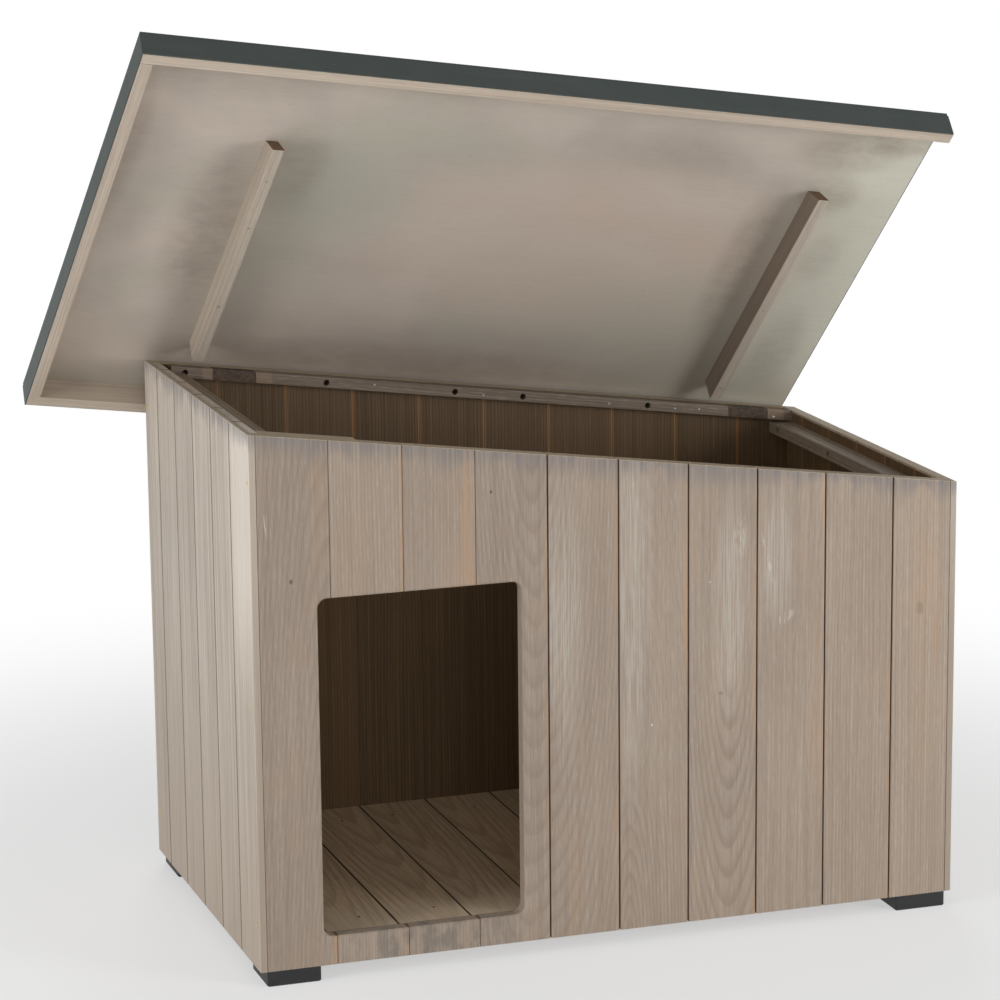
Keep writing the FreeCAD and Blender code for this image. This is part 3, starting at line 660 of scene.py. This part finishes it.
def plywood_finish():
    """Primed plywood: pale clouds over faint fibres, a right end paler partly by painted light, painted
    shade near the hinges, and brown patches near the battens, partly dried damp and partly painted shadows.
    """
    ply = Wood("roof panel, primed plywood", ROOF_DEEP, hinge_place, seed=5.0)
    fibres = ply.noise(ply.spot, (20.0, 60.0, 300.0), 3.0, 0.65)
    cloud = ply.noise(ply.spot, (4.4, 1.0, 6.0), 4.0, 0.55, 0.3)
    broad = ply.noise(ply.spot, (2.2, 1.0, 3.0), 3.0, 0.5, 0.4)
    speck = ply.noise(ply.spot, (240.0, 60.0, 300.0), 3.0, 0.7)
    smear = ply.noise(ply.spot, (30.0, 1.0, 46.0), 5.0, 0.62, 0.2)
    ply.colour = ply.mix(ply.ramp(cloud, 0.32, 0.68), PALE_PLY, DARK_PLY)
    ply.tint(ply.ramp(broad, 0.44, 0.6, 0.0, 0.6), GREEN_PLY)
    # paler, greener right end, partly its own tone and partly painted light
    ply.tint(ply.ramp(ply.across, 0.72, 0.84, 0.0, 0.85), PLY_END_TONE_AND_PAINTED_LIGHT)
    ply.tint(ply.ramp(ply.along, 0.46, 0.56, 0.0, 0.3), FRONT_PLY)
    ply.tint(ply.both(ply.mark(*PINK_CLOUD), ply.ramp(cloud, 0.35, 0.6, 0.3, 0.8)), PINK_PLY)
    ply.tint(ply.calc("MULTIPLY", ply.mark(*COOL_CLOUD), 0.7), COOL_PLY)
    ply.tint(ply.ramp(fibres, 0.46, 0.8, 0.0, 0.1), PLY_FIBRE)
    ply.tint(ply.ramp(speck, 0.58, 0.74, 0.0, 0.2), PLY_SPECK)
    # painted shade on the panel near the hinges
    ply.tint(ply.ramp(ply.along, 0.16, 0.0, 0.0, 0.35), REAR_PLY_PAINTED_SHADE)
    # damp stains, and painted shadows beside the supports and along the hinge edge
    for place, size, strength in DAMP_STAINS_AND_SHADOWS:
        ply.tint(ply.both(ply.mark(place, size), ply.ramp(smear, 0.2, 0.8, 0.3, 0.85), strength), DAMP_AND_SHADOW)
    height = ply.calc("ADD", fibres, ply.calc("MULTIPLY", speck, 0.7))
    roughness = ply.calc("MULTIPLY_ADD", fibres, 0.2, 0.6)
    return ply.close(ply.colour, roughness, height, 0.12, 0.0005)


dress(plywood_finish(), "roof_panel")


def sheet_finish():
    """Dark grey coated sheet, faintly drawn along its length, with a fine grit."""
    sheet = Finish("roof covering and rims, dark coated sheet")
    spot = sheet.place(ROOF_FLAT, hinge_place)
    mottle = sheet.noise(spot, (30.0, 30.0, 30.0), 4.0, 0.6)
    drawn = sheet.noise(spot, (4.0, 60.0, 160.0), 3.0, 0.6)
    grit = sheet.noise(spot, (900.0, 900.0, 900.0), 2.0, 0.6)
    colour = sheet.mix(mottle, SHEET, SHEET_PALE)
    colour = sheet.mix(sheet.ramp(drawn, 0.5, 0.72, 0.0, 0.2), colour, SHEET_DRAWN)
    colour = sheet.mix(sheet.ramp(grit, 0.55, 0.72, 0.0, 0.3), colour, SHEET_GRIT)
    roughness = sheet.calc("MULTIPLY_ADD", mottle, 0.2, 0.45)
    return sheet.close(colour, roughness, grit, 0.12, 0.0003)


dress(sheet_finish(), "roof_covering", "roof_rim_front", "roof_rim_left", "roof_rim_rear")

# feet and hinges


def plastic_finish():
    plastic = Finish("feet, moulded plastic")
    spot = plastic.place(WALL_FRONT, (0, 0, 0))
    grain = plastic.noise(spot, (700.0, 700.0, 700.0), 3.0, 0.6)
    scuff = plastic.noise(spot, (45.0, 45.0, 120.0), 4.0, 0.7)
    colour = plastic.mix(plastic.ramp(scuff, 0.4, 0.7), PLASTIC, PLASTIC_PALE)
    roughness = plastic.calc("MULTIPLY_ADD", scuff, 0.3, 0.36)
    return plastic.close(colour, roughness, grain, 0.25, 0.0003)


def metal_finish(name, pale, dark):
    metal = Finish(name)
    spot = metal.place(WALL_FRONT, (0, 0, 0))
    crystal = metal.noise(spot, (160.0, 160.0, 160.0), 3.0, 0.7)
    metal.shader.inputs["Metallic"].default_value = 0.9
    roughness = metal.calc("MULTIPLY_ADD", crystal, 0.3, 0.28)
    return metal.close(metal.mix(crystal, dark, pale), roughness, crystal, 0.1, 0.0003)


zinc = metal_finish("hinges and screws, zinc-plated steel", PALE_ZINC, DARK_ZINC)
brass = metal_finish("corner nails, brass", PALE_BRASS, DARK_BRASS)
dull = metal_finish("floor nails, dull steel", PALE_STEEL, DARK_STEEL)

dress(plastic_finish(), "foot_front_left", "foot_front_right", "foot_rear_left", "foot_rear_right")
dress(zinc, *starting("hinge_"))

# ---------------------------------------------------------------- nails and screws

HEAD_SIDES = 12
HEAD_SUNK = 0.0004
DOME_TOP = 0.55
DOME_RISE = 0.6


def verts_of(geometry):
    return [item for item in geometry if isinstance(item, bmesh.types.BMVert)]


def edges_among(geometry, verts):
    """The edges that run from one of these vertices to another."""
    edges = [item for item in geometry if isinstance(item, bmesh.types.BMEdge)]
    return [edge for edge in edges if all(vert in verts for vert in edge.verts)]


def heads(name, places, out, body, material, radius, rise=0.0004):
    """Domed heads in one mesh: each starts a little inside its face, its edge stands out by the
    rise and its crown by a little more.
    """
    turn = out.to_track_quat("Z", "Y").to_matrix().to_4x4()
    shape = bmesh.new()
    for place in places:
        rim = bmesh.ops.create_circle(shape, segments=HEAD_SIDES, radius=radius)["verts"]
        foot = []
        for vert in rim:
            foot += [edge for edge in vert.link_edges if edge not in foot]
        wall = bmesh.ops.extrude_edge_only(shape, edges=foot)["geom"]
        raised = verts_of(wall)
        bmesh.ops.translate(shape, verts=raised, vec=(0, 0, rise + HEAD_SUNK))
        dome = bmesh.ops.extrude_edge_only(shape, edges=edges_among(wall, raised))["geom"]
        inner = verts_of(dome)
        bmesh.ops.scale(shape, verts=inner, vec=(DOME_TOP, DOME_TOP, 1))
        bmesh.ops.translate(shape, verts=inner, vec=(0, 0, rise * DOME_RISE))
        bmesh.ops.contextual_create(shape, geom=edges_among(dome, inner))
        bmesh.ops.contextual_create(shape, geom=foot)
        move = Matrix.Translation(place) @ turn @ Matrix.Translation((0, 0, -HEAD_SUNK))
        bmesh.ops.transform(shape, matrix=move, verts=rim + raised + inner)
    bmesh.ops.recalc_face_normals(shape, faces=shape.faces)
    mesh = bpy.data.meshes.new(name)
    shape.to_mesh(mesh)
    shape.free()
    piece = bpy.data.objects.new(name, mesh)
    bpy.context.scene.collection.objects.link(piece)
    mesh.materials.append(material)
    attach(piece, body)


# floor nails: place along the front wall and back from it
FLOOR_NAILS = (
    (0.041, 0.06), (0.2295, 0.4415), (0.2366, 0.0635), (0.3, 0.445), (0.34, 0.035), (0.4116, 0.4402),
    (0.43, 0.06), (0.505, 0.44), (0.505, 0.06), (0.6, 0.44), (0.6, 0.06), (0.69, 0.44), (0.69, 0.06),
    (0.78, 0.44), (0.78, 0.06), (0.14, 0.44), (0.14, 0.06), (0.86, 0.44), (0.86, 0.06),
)
# back batten nails: place along the batten and height above the ground
BACK_BATTEN_NAILS = ((0.296, 0.6255), (0.4445, 0.6013), (0.6198, 0.5776), (0.7135, 0.5641), (0.7478, 0.5608))
BLOCK_NAIL = (0.8553, 0.5421)
# corner nails: how far from the front, from the top nail down, at the front and at the rear corner
FRONT_CORNER = (0.008, 0.0109, 0.0131)
REAR_CORNER = (0.508, 0.505, 0.503)
LEFT_NAIL_HEIGHTS = (0.614, 0.345, 0.075)
RIGHT_NAIL_HEIGHTS = (0.49, 0.29, 0.075)
# support nails: place along the roof, and back from the hinges, so below 0 for those in front
SUPPORT_NAILS = (
    (0.0592, -0.386), (0.059, -0.299), (0.059, -0.15), (0.774, -0.386), (0.7743, -0.225), (0.7743, -0.0634),
)


def corner_nails(name, x, heights, out):
    """Three nails up each end of a side wall."""
    places = list(zip(FRONT_CORNER, heights)) + list(zip(REAR_CORNER, heights))
    heads(name, [in_house(x, y, z) for y, z in places], out, "house", brass, 0.0027)


heads("floor_nails", [in_house(x, y, floor_top) for x, y in FLOOR_NAILS], Z, "house", dull, 0.0016)

batten_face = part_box("back_top_batten")[0].y - house_front
batten_nails = [in_house(x, batten_face, z) for x, z in BACK_BATTEN_NAILS]
block_nail = in_house(BLOCK_NAIL[0], batten_face, BLOCK_NAIL[1])
heads("back_batten_nails", batten_nails, -Y, "house", zinc, 0.0014)
heads("back_batten_block_nail", [block_nail], -Y, "house", zinc, 0.002)

corner_nails("left_corner_nails", 0.0, LEFT_NAIL_HEIGHTS, -X)
corner_nails("right_corner_nails", house_width, RIGHT_NAIL_HEIGHTS, X)

# each hinge leaf has a row of three screws; its face and its row are measured from the hinge axis
hinge_end_distance, hinge_length = 0.12, 0.06
hinge_starts = (hinge_end_distance, house_width / math.cos(slope) - hinge_end_distance - hinge_length)
screw_spots = [start + step for start in hinge_starts for step in (0.01, 0.03, 0.05)]
leaf_face, screw_row = 0.003, 0.021
wall_row = hinge_place - Y * leaf_face - closed_normal * screw_row
wall_screws = [wall_row + roof_along * along for along in screw_spots]
roof_screws = [in_roof(along, screw_row, leaf_face) for along in screw_spots]
heads("hinge_wall_screws", wall_screws, Y, "house", zinc, 0.0034, 0.0008)
heads("hinge_roof_screws", roof_screws, -roof_up, "roof", zinc, 0.0034, 0.0008)

panel_underside, support_depth = 0.005, 0.0308
support_places = [in_roof(along, back, panel_underside - support_depth) for along, back in SUPPORT_NAILS]
heads("support_nails", support_places, -roof_up, "roof", zinc, 0.0012)

# ---------------------------------------------------------------- studio

scene = bpy.context.scene
scene.view_settings.view_transform = "Standard"


def camera_shader(finish, seen_by_camera, otherwise):
    """One shader for what the camera sees, straight or in a gloss, and another for the light."""
    path = finish.nodes.new("ShaderNodeLightPath")
    seen = finish.calc("MAXIMUM", path.outputs["Is Camera Ray"], path.outputs["Is Glossy Ray"])
    seen = finish.calc("MAXIMUM", seen, path.outputs["Is Transmission Ray"])
    return finish.add("MixShader", {}, {0: seen, 1: otherwise, 2: seen_by_camera})


def studio_floor():
    """A white disc that keeps the house's shadow and fades to pure white further out."""
    mesh = bpy.data.meshes.new("studio_floor")
    disc = bmesh.new()
    bmesh.ops.create_circle(disc, cap_ends=True, segments=96, radius=9.0)
    disc.to_mesh(mesh)
    disc.free()
    ground = bpy.data.objects.new("studio_floor", mesh)
    scene.collection.objects.link(ground)
    paper = Finish("studio floor, white paper")
    spot = paper.place(WALL_FRONT, (0, 0, 0))
    speckle = paper.noise(spot, (400.0, 400.0, 400.0))
    paper.close(paper.mix(speckle, (0.8, 0.8, 0.8, 1), (0.84, 0.84, 0.84, 1)), 0.9)
    far = paper.vector("LENGTH", spot, output=1)
    white = paper.add("Emission", {}, {0: WHITE, 1: 1.0})
    fade = paper.ramp(far, 0.55, 1.7, 0.5, 1.0)
    lit = paper.add("MixShader", {}, {0: fade, 1: paper.shader.outputs[0], 2: white})
    seen = camera_shader(paper, lit, paper.shader.outputs[0])
    paper.links.new(seen, paper.nodes["Material Output"].inputs["Surface"])
    mesh.materials.append(paper.material)


def studio_world():
    """White where the camera looks past everything, and a dim even light on the house."""
    world = bpy.data.worlds.new("studio")
    scene.world = world
    world.use_nodes = True
    nodes, links = world.node_tree.nodes, world.node_tree.links
    path = nodes.new("ShaderNodeLightPath")
    dim = nodes["Background"]
    white = nodes.new("ShaderNodeBackground")
    mix = nodes.new("ShaderNodeMixShader")
    for background, strength in ((dim, 0.32), (white, 1.0)):
        background.inputs["Color"].default_value = WHITE
        background.inputs["Strength"].default_value = strength
    links.new(path.outputs["Is Camera Ray"], mix.inputs[0])
    links.new(dim.outputs[0], mix.inputs[1])
    links.new(white.outputs[0], mix.inputs[2])
    links.new(mix.outputs[0], nodes["World Output"].inputs["Surface"])


def softbox(name, place, aim, width, height, power):
    """A rectangular lamp of so many watts that faces what it aims at."""
    light = bpy.data.lights.new(name, "AREA")
    light.shape = "RECTANGLE"
    light.size, light.size_y = width, height
    light.energy = power
    lamp = bpy.data.objects.new(name, light)
    lamp.location = place
    lamp.rotation_mode = "QUATERNION"
    lamp.rotation_quaternion = (Vector(aim) - Vector(place)).to_track_quat("-Z", "Y")
    scene.collection.objects.link(lamp)


# the camera as the photograph's edges place it; the turns are in radians, to the right of straight
# ahead, down, and round the line of sight
CAMERA_PLACE = (-1.478752, -4.450534, 1.543159)
CAMERA_YAW, CAMERA_PITCH, CAMERA_ROLL = 0.3213857, 0.2179452, 0.0103247
SENSOR_WIDTH, FOCAL_LENGTH = 36.0, 136.713


def photograph_camera():
    data = bpy.data.cameras.new("camera")
    camera = bpy.data.objects.new("camera", data)
    scene.collection.objects.link(camera)
    data.sensor_width = SENSOR_WIDTH
    data.lens = FOCAL_LENGTH
    data.clip_end = 60
    level = math.cos(CAMERA_PITCH)
    ahead = Vector((math.sin(CAMERA_YAW) * level, math.cos(CAMERA_YAW) * level, -math.sin(CAMERA_PITCH)))
    right = Vector((math.cos(CAMERA_YAW), -math.sin(CAMERA_YAW), 0))
    down = ahead.cross(right)
    rolled_right = right * math.cos(CAMERA_ROLL) + down * math.sin(CAMERA_ROLL)
    rolled_down = down * math.cos(CAMERA_ROLL) - right * math.sin(CAMERA_ROLL)
    turn = Matrix((rolled_right, -rolled_down, -ahead)).transposed()
    camera.rotation_mode = "QUATERNION"
    camera.rotation_quaternion = turn.to_quaternion()
    camera.location = CAMERA_PLACE
    scene.camera = camera


studio_floor()
studio_world()
softbox("softbox_left", (-3.5, -1.1, 1.0), (0, 0, 0.55), 1.2, 1.6, 64)
softbox("softbox_right", (2.7, -2.9, 0.95), (0, 0, 0.6), 1.2, 1.6, 66)
softbox("softbox_front", (-0.8, -4.4, 1.1), (0, 0, 0.6), 1.6, 1.4, 26)
softbox("softbox_back", (1.2, 4.2, 1.9), (0, 0, 0.5), 1.8, 1.4, 46)
photograph_camera()
